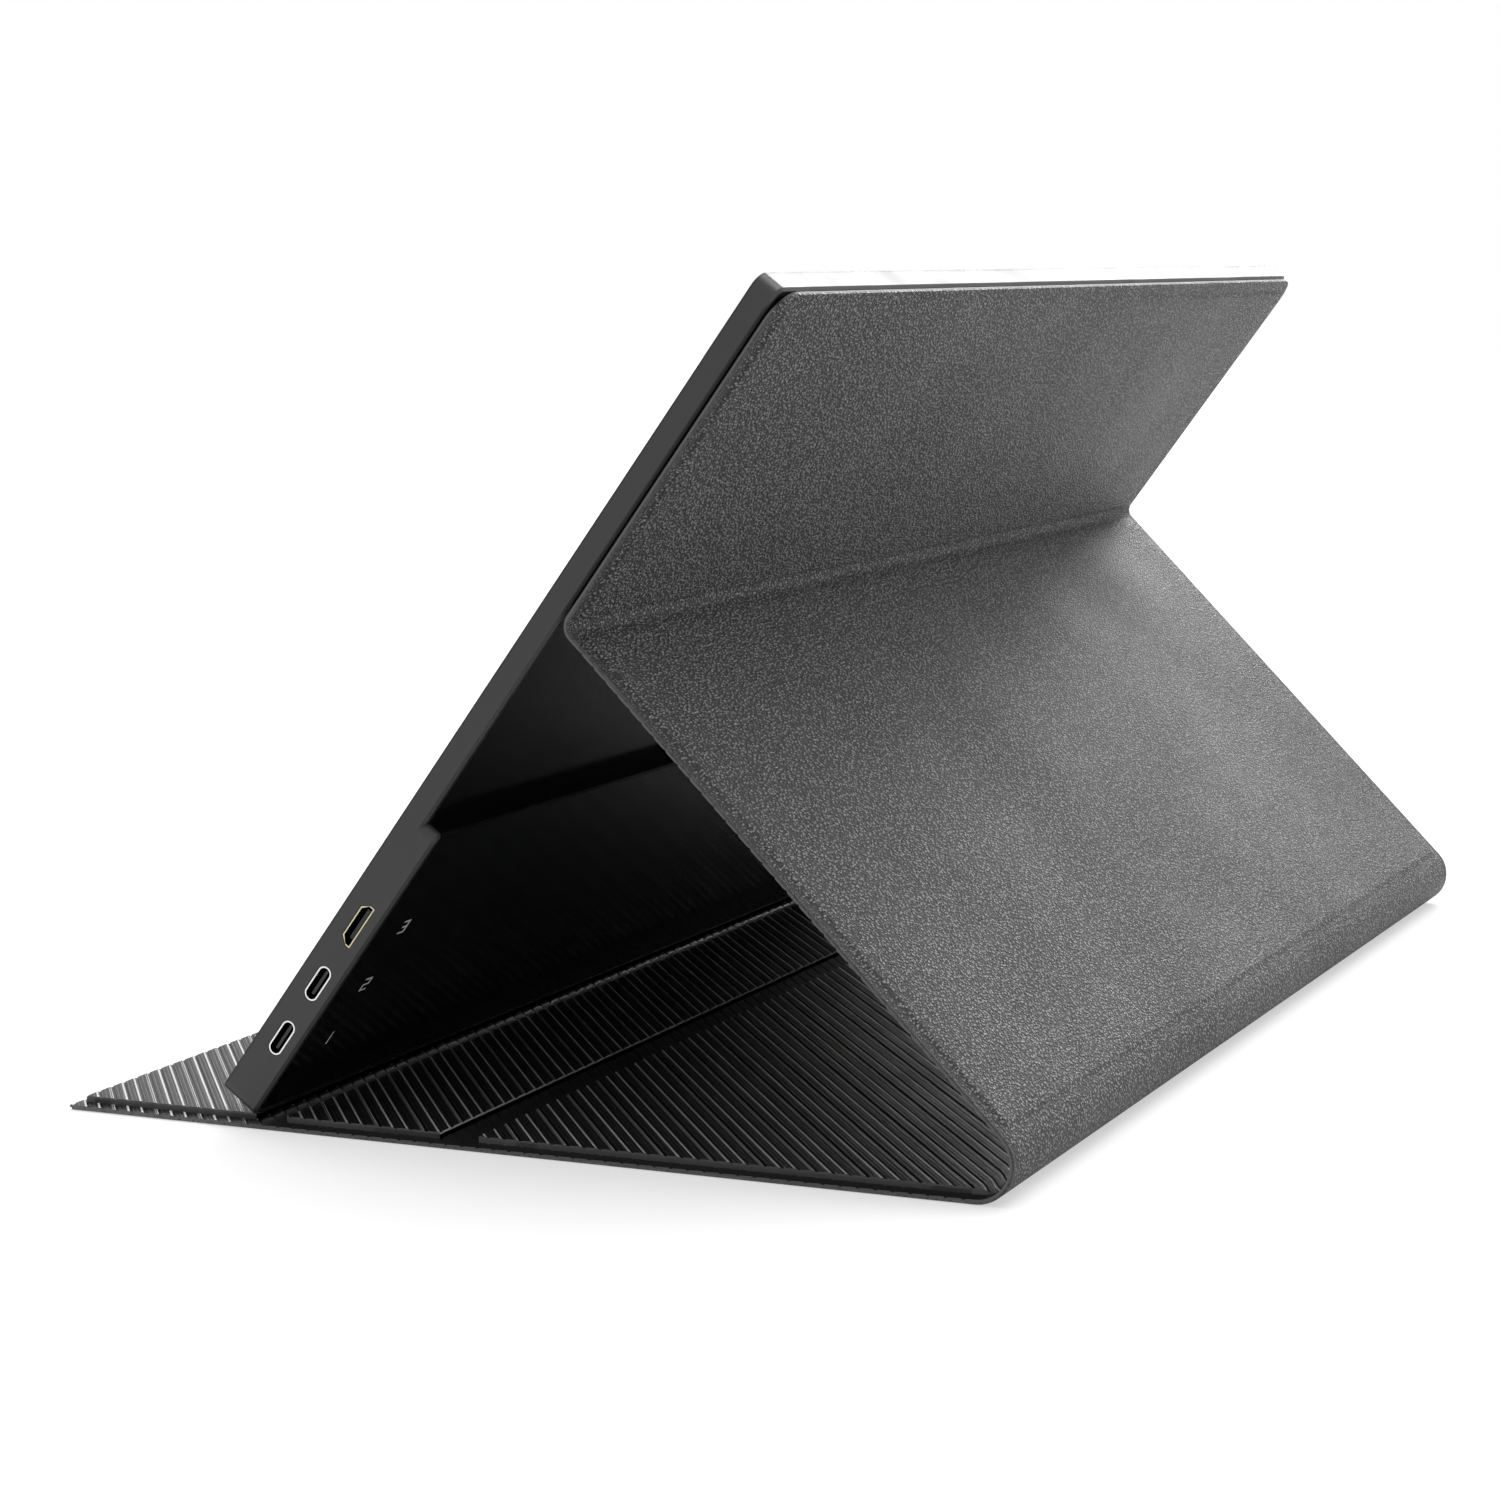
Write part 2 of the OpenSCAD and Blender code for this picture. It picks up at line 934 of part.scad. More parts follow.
mid_frame();
rear_cover();
front_bezel();
lcd_panel();
optical_sheets();
light_guide();
back_tray();
led_bar();
panel_board();
panel_flex();
main_board();
board_screws();
usb_c_shell_low();
usb_c_tongue_low();
usb_c_shell_high();
usb_c_tongue_high();
video_shell();
video_tongue();
audio_jack();
power_button();
menu_rocker();
button_board();
button_switches();
button_cable();
speaker_left();
speaker_right();
steel_strips();
back_skin();
back_board();
back_liner();
back_magnets();
fold_skin();
fold_liner();
support_skin();
support_board();
support_liner();
spine_skin();
spine_liner();
rear_skin();
rear_board();
rear_liner();
rear_crease();
mid_skin();
mid_board();
mid_liner();
front_crease();
front_skin();
front_board();
front_liner();
front_magnets();
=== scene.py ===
import json
import math

import bmesh
import bpy
import numpy as np
from mathutils import Matrix, Vector


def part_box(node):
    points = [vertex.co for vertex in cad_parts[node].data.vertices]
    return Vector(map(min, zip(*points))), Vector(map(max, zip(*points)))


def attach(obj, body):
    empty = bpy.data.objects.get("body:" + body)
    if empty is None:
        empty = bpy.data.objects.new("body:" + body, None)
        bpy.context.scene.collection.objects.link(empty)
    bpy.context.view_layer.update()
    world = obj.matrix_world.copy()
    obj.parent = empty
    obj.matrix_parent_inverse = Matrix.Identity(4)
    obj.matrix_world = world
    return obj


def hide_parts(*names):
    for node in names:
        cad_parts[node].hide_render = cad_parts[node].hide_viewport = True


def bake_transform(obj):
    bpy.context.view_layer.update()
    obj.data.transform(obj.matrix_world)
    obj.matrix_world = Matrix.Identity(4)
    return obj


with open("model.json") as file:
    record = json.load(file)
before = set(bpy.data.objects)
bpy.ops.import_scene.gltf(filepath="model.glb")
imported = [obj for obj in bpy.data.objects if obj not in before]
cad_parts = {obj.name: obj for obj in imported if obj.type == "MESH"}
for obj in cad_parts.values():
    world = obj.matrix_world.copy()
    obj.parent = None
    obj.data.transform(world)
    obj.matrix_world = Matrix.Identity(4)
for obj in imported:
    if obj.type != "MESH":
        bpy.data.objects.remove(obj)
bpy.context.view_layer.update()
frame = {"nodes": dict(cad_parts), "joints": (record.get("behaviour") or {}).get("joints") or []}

# Picture: the camera of the photograph
# A long lens near desk height, behind the screen and to the right of it.
# Its place was found from the straight edges of the stand, the sheet and the ports.


def put_in_scene(name, data):
    """An object for a camera, a lamp or a mesh, linked to the scene."""
    thing = bpy.data.objects.new(name, data)
    bpy.context.scene.collection.objects.link(thing)
    return thing


def camera_at(place, azimuth, elevation, roll, lens):
    """The camera looks back along the direction of azimuth and elevation, in degrees, and is turned
    by roll about it."""
    a, e, r = math.radians(azimuth), math.radians(elevation), math.radians(roll)
    back = np.array([math.sin(a) * math.cos(e), -math.cos(a) * math.cos(e), math.sin(e)])
    right = np.cross([0, 0, 1], back)
    right /= np.linalg.norm(right)
    up = np.cross(back, right)
    across = right * math.cos(r) + up * math.sin(r)
    data = bpy.data.cameras.new("camera")
    data.sensor_width = 36
    data.lens = lens
    camera = put_in_scene("camera", data)
    matrix = np.eye(4)
    matrix[:3] = np.column_stack([across, np.cross(back, across), back, place])
    camera.matrix_world = Matrix(matrix.tolist())
    bpy.context.scene.camera = camera
    return camera


camera = camera_at((0.8020, 0.3527, 0.1864), 113.81, 7.97, -0.66, 82.44)
camera.data.shift_x = -0.06
camera.data.clip_start = 0.05
camera.data.clip_end = 20
bpy.context.scene.view_settings.view_transform = "Standard"

# Picture: the pale floor, the white surround and the soft light
# The floor is a wide matt sheet; a broad lamp overhead and a second one low beyond
# the screen give the cover its slow change from dark to light.

MM = 0.001


def new_material(name):
    """A node material; returns it with its node tree and its Principled shader."""
    material = bpy.data.materials.new(name)
    material.use_nodes = True
    tree = material.node_tree
    return material, tree, tree.nodes["Principled BSDF"]


def feed(tree, node, inputs):
    """Gives each input of a node a link, where its value is a socket, or else a constant."""
    for label, value in inputs.items():
        if isinstance(value, bpy.types.NodeSocket):
            tree.links.new(value, node.inputs[label])
        else:
            node.inputs[label].default_value = value


def add(tree, kind, inputs, **settings):
    """Adds a shader node of a kind. Its settings come first, because they choose its inputs."""
    node = tree.nodes.new("ShaderNode" + kind)
    for setting, value in settings.items():
        setattr(node, setting, value)
    feed(tree, node, inputs)
    return node


def reckon(tree, operation, *values):
    """A Math node over one to three numbers or sockets; returns its socket."""
    return add(tree, "Math", dict(enumerate(values)), operation=operation).outputs[0]


def spread(tree, value, low, high, to_low=0.0, to_high=1.0, smooth=False):
    """Maps low to to_low and high to to_high, straight or in a smooth step, and holds the value
    beyond both; returns its socket."""
    limits = {"From Min": low, "From Max": high, "To Min": to_low, "To Max": to_high}
    step = "SMOOTHSTEP" if smooth else "LINEAR"
    node = add(tree, "MapRange", {"Value": value, **limits}, interpolation_type=step)
    return node.outputs["Result"]


def axis_of(tree, vector, axis):
    """One of the three numbers of a vector socket, named X, Y or Z."""
    return add(tree, "SeparateXYZ", {0: vector}).outputs[axis]


floor_mesh = bpy.data.meshes.new("floor")
floor_mesh.from_pydata([(-6, -6, 0), (6, -6, 0), (6, 6, 0), (-6, 6, 0)], [], [(0, 1, 2, 3)])
floor = put_in_scene("floor", floor_mesh)
floor.location.z = -0.2 * MM
floor_paint, tree, shader = new_material("floor_sheet")
feed(tree, shader, {"Base Color": (0.86, 0.86, 0.86, 1), "Roughness": 0.9,
                    "Specular IOR Level": 0.1})
# Seen directly the sheet is burnt out to white but for the object's shadow, and wholly white
# far off
place = add(tree, "TexCoord", {}).outputs["Object"]
far_off = add(tree, "VectorMath", {0: place}, operation="LENGTH").outputs["Value"]
glow_share = spread(tree, far_off, 0.25, 0.55, 0.42, 1.0, smooth=True)
seen = add(tree, "LightPath", {}).outputs["Is Camera Ray"]
glow = add(tree, "Emission", {"Strength": 1.25})
sheet_or_glow = add(tree, "MixShader", {0: reckon(tree, "MULTIPLY", glow_share, seen),
                                        1: shader.outputs[0], 2: glow.outputs[0]})
feed(tree, tree.nodes["Material Output"], {"Surface": sheet_or_glow.outputs[0]})
floor_mesh.materials.append(floor_paint)

world = bpy.data.worlds.new("surround")
bpy.context.scene.world = world
world.use_nodes = True
sky = world.node_tree
sky.nodes.clear()
# The room is darker on the side of the camera (+X) than above and beyond the object
direction = add(sky, "TexCoord", {}).outputs["Generated"]
room_level = spread(sky, axis_of(sky, direction, "X"), -0.6, 0.8, 1.0, 0.48, smooth=True)
room = add(sky, "Background", {"Color": (1, 1, 1, 1), "Strength": room_level})
# Camera, glossy and transmission rays all see the white surround
white = add(sky, "Background", {"Color": (1, 1, 1, 1), "Strength": 1.0})
ray = add(sky, "LightPath", {}).outputs
looking = reckon(sky, "MAXIMUM", ray["Is Camera Ray"], ray["Is Glossy Ray"])
looking = reckon(sky, "MAXIMUM", looking, ray["Is Transmission Ray"])
surround = add(sky, "MixShader", {0: looking, 1: room.outputs[0], 2: white.outputs[0]})
add(sky, "OutputWorld", {"Surface": surround.outputs[0]})


def soft_lamp(name, place, target, size, power):
    """A rectangular area lamp that faces its target; size in metres, power in watts."""
    data = bpy.data.lights.new(name, "AREA")
    data.shape = "RECTANGLE"
    data.size, data.size_y = size
    data.energy = power
    lamp = put_in_scene(name, data)
    lamp.location = place
    lamp.rotation_mode = "QUATERNION"
    lamp.rotation_quaternion = (Vector(target) - Vector(place)).to_track_quat("-Z", "Y")


soft_lamp("overhead", (-0.3, 0.5, 1.8), (0, 0, 0.05), (1.3, 1.3), 20)
soft_lamp("far_side", (-1.45, -0.35, 0.68), (0, 0.03, 0.08), (0.9, 0.7), 19)

# Monitor frame
# A thin surround of magnesium alloy, cast with its lower block and chamfered,
# then sprayed with a satin dark grey paint that shows a very fine grain.


def group_of(name, inputs, output):
    """An empty node group with float inputs (name: value) and one float output; returns it with
    the sockets that it is given and the node that takes its result."""
    group = bpy.data.node_groups.new(name, "ShaderNodeTree")
    for label, value in inputs.items():
        socket = group.interface.new_socket(label, in_out="INPUT", socket_type="NodeSocketFloat")
        socket.default_value = value
    group.interface.new_socket(output, in_out="OUTPUT", socket_type="NodeSocketFloat")
    return group, group.nodes.new("NodeGroupInput").outputs, group.nodes.new("NodeGroupOutput")


def sized_noise(group, size, detail):
    """Noise on Object coordinates whose scale is 1 over a size in metres; returns its socket."""
    place = add(group, "TexCoord", {}).outputs["Object"]
    scale = reckon(group, "DIVIDE", 1.0, size)
    noise = add(group, "TexNoise", {"Vector": place, "Scale": scale, "Detail": detail})
    return noise.outputs["Fac"]


# Two effects come back on many surfaces of the object: a fine even grain, and slow cloudy
# changes, from Low to High, where hands and cloth have passed
fine_grain, given, result = group_of("fine_grain", {"Size": 0.4 * MM, "Detail": 2.0}, "Grain")
feed(fine_grain, result, {"Grain": sized_noise(fine_grain, given["Size"], given["Detail"])})

cloudy, given, result = group_of("cloudy", {"Size": 50 * MM, "Low": 0.0, "High": 1.0}, "Value")
clouds = sized_noise(cloudy, given["Size"], 3.0)
feed(cloudy, result, {"Value": spread(cloudy, clouds, 0.35, 0.65, given["Low"], given["High"])})


def put_group(tree, group, **values):
    """Places a group in a material with its own values; returns its socket."""
    return add(tree, "Group", values, node_tree=group).outputs[0]


def two_tone(tree, factor, dark, light, **settings):
    """A colour between dark and light, each a triple or a socket, chosen by a 0 to 1 factor;
    returns its socket."""
    a, b = (c if isinstance(c, bpy.types.NodeSocket) else (*c, 1) for c in (dark, light))
    mix = add(tree, "Mix", {"Factor": factor, "A": a, "B": b}, data_type="RGBA", **settings)
    return mix.outputs["Result"]


def raised(tree, height, distance):
    """A Bump node whose relief is distance metres high; returns its normal."""
    return add(tree, "Bump", {"Strength": 1.0, "Distance": distance, "Height": height}).outputs[0]


def grained_finish(name, dark, light, roughness, grain_size, relief, metallic=0.0):
    """A moulded or painted finish: fine grain in colour and relief, clouds in its gloss."""
    material, tree, shader = new_material(name)
    grain = put_group(tree, fine_grain, Size=grain_size)
    feed(tree, shader, {
        "Base Color": two_tone(tree, grain, dark, light),
        "Roughness": put_group(tree, cloudy, Size=30 * MM, Low=roughness * 0.9,
                               High=roughness * 1.1),
        "Metallic": metallic,
        "Normal": raised(tree, grain, relief)})
    return material


def dress(names, material):
    """Gives CAD pieces a material."""
    for name in names:
        mesh = frame["nodes"][name].data
        mesh.materials.clear()
        mesh.materials.append(material)


dress(["mid_frame", "power_button", "menu_rocker"],
      grained_finish("frame_paint", (0.023, 0.023, 0.024), (0.032, 0.032, 0.033),
                     0.42, 0.35 * MM, 0.01 * MM))

# Back cover
# One piece of injection-moulded plastic with a polished black face, snapped
# into the frame; it steps out over the electronics in the lower part.

back_gloss, tree, shader = new_material("back_gloss")
smear = put_group(tree, cloudy, Size=60 * MM, Low=0.15, High=0.20)
orange_peel = put_group(tree, cloudy, Size=12 * MM, Low=0.0, High=1.0)
feed(tree, shader, {"Base Color": (0.004, 0.004, 0.0045, 1), "Roughness": smear,
                    "Specular IOR Level": 0.38, "Normal": raised(tree, orange_peel, 0.002 * MM)})
dress(["rear_cover"], back_gloss)

# Display
# A bonded panel behind a narrow black bezel; switched off, its matt coating
# looks almost black and scatters what it mirrors.

dress(["front_bezel"], grained_finish("bezel_plastic", (0.006, 0.006, 0.007),
                                      (0.010, 0.010, 0.011), 0.45, 0.4 * MM, 0.01 * MM))

panel_face, tree, shader = new_material("panel_face")
sparkle = put_group(tree, fine_grain, Size=0.1 * MM, Detail=1.0)
haze = put_group(tree, cloudy, Size=80 * MM, Low=0.30, High=0.34)
feed(tree, shader, {"Base Color": (0.006, 0.007, 0.009, 1), "Roughness": haze,
                    "Specular IOR Level": 0.2, "Normal": raised(tree, sparkle, 0.004 * MM)})
dress(["lcd_panel"], panel_face)

# Parts inside the monitor
# Films, boards, cables and speakers that show only when the case is opened;
# each keeps the plain finish of its maker.

# Finish, its dark and light tone, roughness, grain size and relief in mm, metallic, pieces
for name, dark, light, roughness, grain_size, relief, metallic, pieces in (
        ("film_white", (0.78, 0.79, 0.80), (0.84, 0.85, 0.86), 0.50, 0.6, 0.01, 0.0,
         ["optical_sheets", "led_bar"]),
        ("guide_clear", (0.60, 0.68, 0.70), (0.66, 0.74, 0.76), 0.15, 0.8, 0.01, 0.0,
         ["light_guide"]),
        ("pressed_steel", (0.46, 0.46, 0.47), (0.54, 0.54, 0.55), 0.35, 0.5, 0.01, 1.0,
         ["back_tray", "board_screws", "steel_strips", "back_magnets", "front_magnets"]),
        ("board_lacquer", (0.010, 0.070, 0.030), (0.014, 0.085, 0.038), 0.30, 0.8, 0.02, 0.0,
         ["panel_board", "main_board", "button_board"]),
        ("amber_film", (0.42, 0.17, 0.02), (0.50, 0.22, 0.03), 0.25, 1.0, 0.01, 0.0,
         ["panel_flex", "button_cable"]),
        ("switch_plastic", (0.60, 0.60, 0.58), (0.66, 0.66, 0.64), 0.40, 0.5, 0.01, 0.0,
         ["button_switches"]),
        ("box_plastic", (0.012, 0.012, 0.013), (0.020, 0.020, 0.021), 0.50, 0.6, 0.02, 0.0,
         ["speaker_left", "speaker_right"]),
        ("grey_board", (0.16, 0.13, 0.10), (0.22, 0.18, 0.14), 0.90, 1.2, 0.04, 0.0,
         ["back_board", "support_board", "rear_board", "mid_board", "front_board"])):
    dress(pieces, grained_finish(name, dark, light, roughness, grain_size * MM, relief * MM,
                                 metallic))

# Ports
# Drawn steel shells with bright plating, each round a black core that
# carries the contacts; the video port's plating is warmer. Deeper than the rim
# the plating is painted near black, as painted shade inside the port.

port_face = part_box("usb_c_shell_low")[1].x


def plated(name, colour, roughness):
    """Bright plating with the faint drag marks of the drawing die; deeper than the rim it is
    painted near black, as painted shade inside the port.
    """
    material, tree, shader = new_material(name)
    grain = put_group(tree, fine_grain, Size=0.3 * MM, Detail=3.0)
    bright = two_tone(tree, grain, tuple(c * 0.92 for c in colour), colour)
    depth = axis_of(tree, add(tree, "TexCoord", {}).outputs["Object"], "X")
    # Painted shade: deeper than the rim, inside the port, the plating is painted near black
    rim_out_of_shade = spread(tree, depth, port_face - 0.7 * MM, port_face - 0.1 * MM)
    feed(tree, shader, {
        "Base Color": two_tone(tree, rim_out_of_shade, (0.012, 0.012, 0.012), bright),
        "Roughness": put_group(tree, cloudy, Size=3 * MM, Low=roughness * 0.9,
                               High=roughness * 1.15),
        "Metallic": 1.0,
        "Normal": raised(tree, grain, 0.004 * MM)})
    return material


dress(["usb_c_shell_low", "usb_c_shell_high"],
      plated("bright_plating", (0.80, 0.80, 0.80), 0.28))
dress(["video_shell"], plated("warm_plating", (0.62, 0.56, 0.36), 0.30))
dress(["usb_c_tongue_low", "usb_c_tongue_high", "video_tongue", "audio_jack"],
      grained_finish("core_plastic", (0.010, 0.010, 0.010), (0.016, 0.016, 0.016),
                     0.45, 0.4 * MM, 0.01 * MM))

# Port numbers
# Plain digits printed in white on the glossy back, one beside each port; they
# stand where the maker has printed the ports' names.

joints = {joint["name"]: joint for joint in frame["joints"]}
# The monitor's lean, from the axis that points square into it, and the directions as (y, z) out
# of its back and up along it
depth_axis = joints["rocker_tilt"]["axis"]
lean = math.atan2(-depth_axis[2], depth_axis[1])
outward_back = np.array([math.cos(lean), -math.sin(lean)])
upward_back = np.array([math.sin(lean), math.cos(lean)])

cover_mesh = frame["nodes"]["rear_cover"].data
cover_points = np.empty(3 * len(cover_mesh.vertices), np.float32)
cover_mesh.vertices.foreach_get("co", cover_points)
back_face = (cover_points.reshape(-1, 3)[:, 1:] @ outward_back).max()

stroke_w, stroke_h, ink_t = 0.55 * MM, 0.42 * MM, 0.02 * MM
print_gap = 14 * MM
print_ink = grained_finish("print_ink", (0.82, 0.82, 0.82), (0.90, 0.90, 0.90),
                           0.5, 0.2 * MM, 0.004 * MM)


def port_number(name, outline, port):
    """A digit beside a port. Its outline, counted in stroke widths from its lower left (5 across
    and 9 up) and going round with the clock, is centred beside the port, laid on the back's face
    and raised by the ink's thickness."""
    low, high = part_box(port)
    beside = (low.y + high.y) / 2 * upward_back[0] + (low.z + high.z) / 2 * upward_back[1]
    right, up = np.array(outline, float).T
    n = len(outline)
    x = high.x - print_gap - (right - 2.5) * stroke_w
    climb = np.outer(beside + (up - 4.5) * stroke_h, upward_back)
    layers = [np.column_stack([x, climb + outward_back * (back_face + lift)])
              for lift in (0.0, ink_t)]
    i = np.arange(n)
    after = (i + 1) % n
    faces = [i.tolist(), (i[::-1] + n).tolist()]
    faces += np.stack([after, i, n + i, n + after], -1).tolist()
    mesh = bpy.data.meshes.new(name)
    mesh.from_pydata(np.concatenate(layers), [], faces)
    mesh.materials.append(print_ink)
    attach(put_in_scene(name, mesh), "screen")


port_number("number_1", [(2, 9), (3, 9), (3, 0), (2, 0)], "usb_c_shell_low")
port_number("number_2", [(0, 9), (5, 9), (5, 4), (1, 4), (1, 1), (5, 1), (5, 0), (0, 0), (0, 5),
                         (4, 5), (4, 8), (0, 8)], "usb_c_shell_high")
port_number("number_3", [(0, 9), (5, 9), (5, 0), (0, 0), (0, 1), (4, 1), (4, 4), (1, 4), (1, 5),
                         (4, 5), (4, 8), (0, 8)], "video_shell")

# Cover: the folded sheet
# Skin, boards and liner are one long sandwich that runs from the free edge
# under the screen, round the spine, up the support and onto the monitor's back.

spine_y, spine_r = joints["spine_roll"]["pos_m"][1:]
valley_y, valley_z = joints["fold_open"]["pos_m"][1:]
valley_r = 2.8 * MM
skin_t = 0.5 * MM

# The support is tangent to the spine's circle and to the small circle in the valley
apart = math.hypot(valley_y - spine_y, valley_z - spine_r)
turned = math.atan2(valley_z - spine_r, valley_y - spine_y)
rise = math.pi - turned - math.asin((spine_r + valley_r) / apart)
support_len = math.sqrt(apart ** 2 - (spine_r + valley_r) ** 2)
valley_turn = math.pi - rise - (math.pi / 2 - lean)

free_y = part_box("front_skin")[0].y
outward_support = np.array([math.sin(rise), math.cos(rise)])
spine_mid = np.array([spine_y, spine_r])
valley_mid = np.array([valley_y, valley_z])
support_start = spine_mid + spine_r * outward_support
back_start = valley_mid - valley_r * outward_back
top_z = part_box("back_skin")[1].z - skin_t * math.sin(lean)

# Distances along the sheet, from its free edge, at which it changes direction
spine_at = spine_y - free_y
support_at = spine_at + spine_r * (math.pi - rise)
valley_at = support_at + support_len
back_at = valley_at + valley_r * valley_turn
sheet_end = back_at + (top_z - back_start[1]) / math.cos(lean)


def on_sheet(x, t, h):
    """Lays the flat sheet along its folded course. x is across, t along from the free edge, and
    h the depth below the outer face. The course is flat on the desk, turns on the spine's circle,
    climbs straight, turns back on the valley's small circle and runs up the monitor's back."""
    x, t, h = np.broadcast_arrays(np.asarray(x, float), t, h)
    a = (t - spine_at) / spine_r
    b = math.pi + (math.pi / 2 - rise) - (t - valley_at) / valley_r
    climb, up = t - support_at, t - back_at
    where = [t <= spine_at, t <= support_at, t <= valley_at, t <= back_at]
    y = np.select(where, [
        free_y + t,
        spine_y + (spine_r - h) * np.sin(a),
        support_start[0] - climb * math.cos(rise) - h * outward_support[0],
        valley_y + (valley_r + h) * np.cos(b)],
        back_start[0] + up * math.sin(lean) - h * outward_back[0])
    z = np.select(where, [
        h,
        spine_r - (spine_r - h) * np.cos(a),
        support_start[1] + climb * math.sin(rise) - h * outward_support[1],
        valley_z + (valley_r + h) * np.sin(b)],
        back_start[1] + up * math.cos(lean) - h * outward_back[1])
    return np.stack([x, y, z], -1)


# Cover: outer skin
# Synthetic leather with a pebbled grain, pressed warm over the boards, so that
# each board stands out softly and the seam round it lies flat and smooth.

half_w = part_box("rear_skin")[1].x
seam, emboss = 4.0 * MM, 0.5 * MM
# Strip along each side in which the grids are fine, as the board's edge lies in it
fine_w = 2.2 * seam
corner_back, corner_front = 7.0 * MM, 1.0 * MM
# What the bends take from the support's foot, and from the panels on both sides of the valley
tail, crease_half = 1.5 * MM, 4.3 * MM

# Pebbles a little under a millimetre wide, drawn out and warped, with finer wrinkles over them;
# the scales are counts to the metre
leather, tree, shader = new_material("leather")
sheet_uv = add(tree, "UVMap", {}, uv_map="sheet").outputs["UV"]
stretched = add(tree, "VectorMath", {0: sheet_uv, 1: (0.8, 1.3, 1.0)},
                operation="MULTIPLY").outputs[0]
warp = add(tree, "TexNoise", {"Vector": sheet_uv, "Scale": 900, "Detail": 1}).outputs["Color"]
shifted = add(tree, "VectorMath", {0: warp, 1: (0.6 * MM, 0.6 * MM, 0.6 * MM), 2: stretched},
              operation="MULTIPLY_ADD").outputs[0]
pebbles = add(tree, "TexVoronoi", {"Vector": shifted, "Scale": 1150, "Smoothness": 0.2},
              feature="SMOOTH_F1").outputs["Distance"]
dome = spread(tree, pebbles, 0.56, 0.16)
wrinkles = add(tree, "TexNoise", {"Vector": stretched, "Scale": 1500, "Detail": 1.5})
relief = reckon(tree, "MULTIPLY_ADD", wrinkles.outputs["Fac"], 0.9, dome)
# The seam along the sides is pressed flat, so its grain is faint
off_middle = reckon(tree, "ABSOLUTE", axis_of(tree, sheet_uv, "X"))
grain_left = spread(tree, off_middle, half_w - 0.9 * seam, half_w - 0.3 * seam, 1.0, 0.72,
                    smooth=True)
pressed = reckon(tree, "MULTIPLY", relief, grain_left)
# The grain's colour follows its relief, from near black in the valleys to grey on the domes: partly
# the leather's own tone, mostly painted shade in the valleys and painted highlight on the domes
grain_light_and_shade = two_tone(tree, spread(tree, pressed, 0.63, 1.23), (0.016, 0.016, 0.016),
                (0.300, 0.300, 0.304))
# Its cut edge has a flat tone of its own, painted paler round the base as a painted highlight on
# the lit edge along the desk
cut_edge = spread(tree, off_middle, half_w - 0.5 * MM, half_w - 0.2 * MM)
standing = spread(tree, axis_of(tree, sheet_uv, "Y"), spine_at - 2 * MM, spine_at + 8 * MM)
edge_tone_and_highlight = two_tone(tree, standing, (0.14, 0.14, 0.141), (0.060, 0.060, 0.061))
feed(tree, shader, {
    "Base Color": two_tone(tree, cut_edge, grain_light_and_shade, edge_tone_and_highlight),
    "Roughness": put_group(tree, cloudy, Size=50 * MM, Low=0.50, High=0.58),
    "Specular IOR Level": 0.45,
    "Normal": raised(tree, pressed, 0.9 * MM)})


same_spot = 0.5e-6


def sheet_piece(name, flat, faces, material, smooth_deg=40, side_material=None, side_from=0):
    """Makes a piece from points given as (x, t, h) and its faces: lays them on the sheet's course,
    joins equal points, and keeps (x, t) in metres as the UV map. Edges sharper than smooth_deg
    stay sharp. The faces from side_from on get the second material, if there is one."""
    mesh = bpy.data.meshes.new(name)
    mesh.from_pydata(on_sheet(flat[:, 0], flat[:, 1], flat[:, 2]), [], faces)
    mesh.materials.append(material)
    if side_material is not None:
        mesh.materials.append(side_material)
        second = (np.arange(len(faces)) >= side_from).astype(np.int32)
        mesh.polygons.foreach_set("material_index", second)
    corner_points = np.empty(len(mesh.loops), int)
    mesh.loops.foreach_get("vertex_index", corner_points)
    uv = mesh.uv_layers.new(name="sheet")
    uv.data.foreach_set("uv", flat[corner_points, :2].astype(np.float32).ravel())
    work = bmesh.new()
    work.from_mesh(mesh)
    bmesh.ops.remove_doubles(work, verts=work.verts, dist=same_spot)
    bmesh.ops.dissolve_degenerate(work, edges=work.edges, dist=same_spot)
    bmesh.ops.recalc_face_normals(work, faces=work.faces)
    work.to_mesh(mesh)
    work.free()
    mesh.polygons.foreach_set("use_smooth", np.ones(len(mesh.polygons), bool))
    mesh.set_sharp_from_angle(angle=math.radians(smooth_deg))
    return put_in_scene(name, mesh)


def slab(outer, inner):
    """Closed slab between two grids of (x, t, h) points; returns its points and faces."""
    n, m = outer.shape[:2]
    index = np.arange(2 * n * m).reshape(2, n, m)

    def quads(g):
        return np.stack([g[:-1, :-1], g[1:, :-1], g[1:, 1:], g[:-1, 1:]], -1).reshape(-1, 4)

    rim_out_of_shade = np.concatenate([index[:, 0, :-1], index[:, :-1, -1], index[:, -1, :0:-1],
                          index[:, :0:-1, 0]], 1)
    closed = np.concatenate([rim_out_of_shade, rim_out_of_shade[:, :1]], 1)
    faces = np.concatenate([quads(index[0]), quads(index[1])[:, ::-1], quads(closed)])
    return np.concatenate([outer.reshape(-1, 3), inner.reshape(-1, 3)]), faces.tolist()


def stations(low, high, step, *dense):
    """Places from low to high a step apart, with a finer run over each (from, to, count) of
    dense."""
    rows = [np.linspace(low, high, max(2, int(round((high - low) / step)) + 1))]
    rows += [np.linspace(a, b, n) for a, b, n in dense]
    rows = np.unique(np.round(np.concatenate(rows), 7))
    rows = rows[(rows > low + 1e-6) & (rows < high - 1e-6)]
    return np.concatenate([[low], rows, [high]])


def stations_across(step, count):
    """Places from side to side a step apart, with count of them in the fine strip of each side."""
    return stations(-half_w, half_w, step, (-half_w, fine_w - half_w, count),
                    (half_w - fine_w, half_w, count))


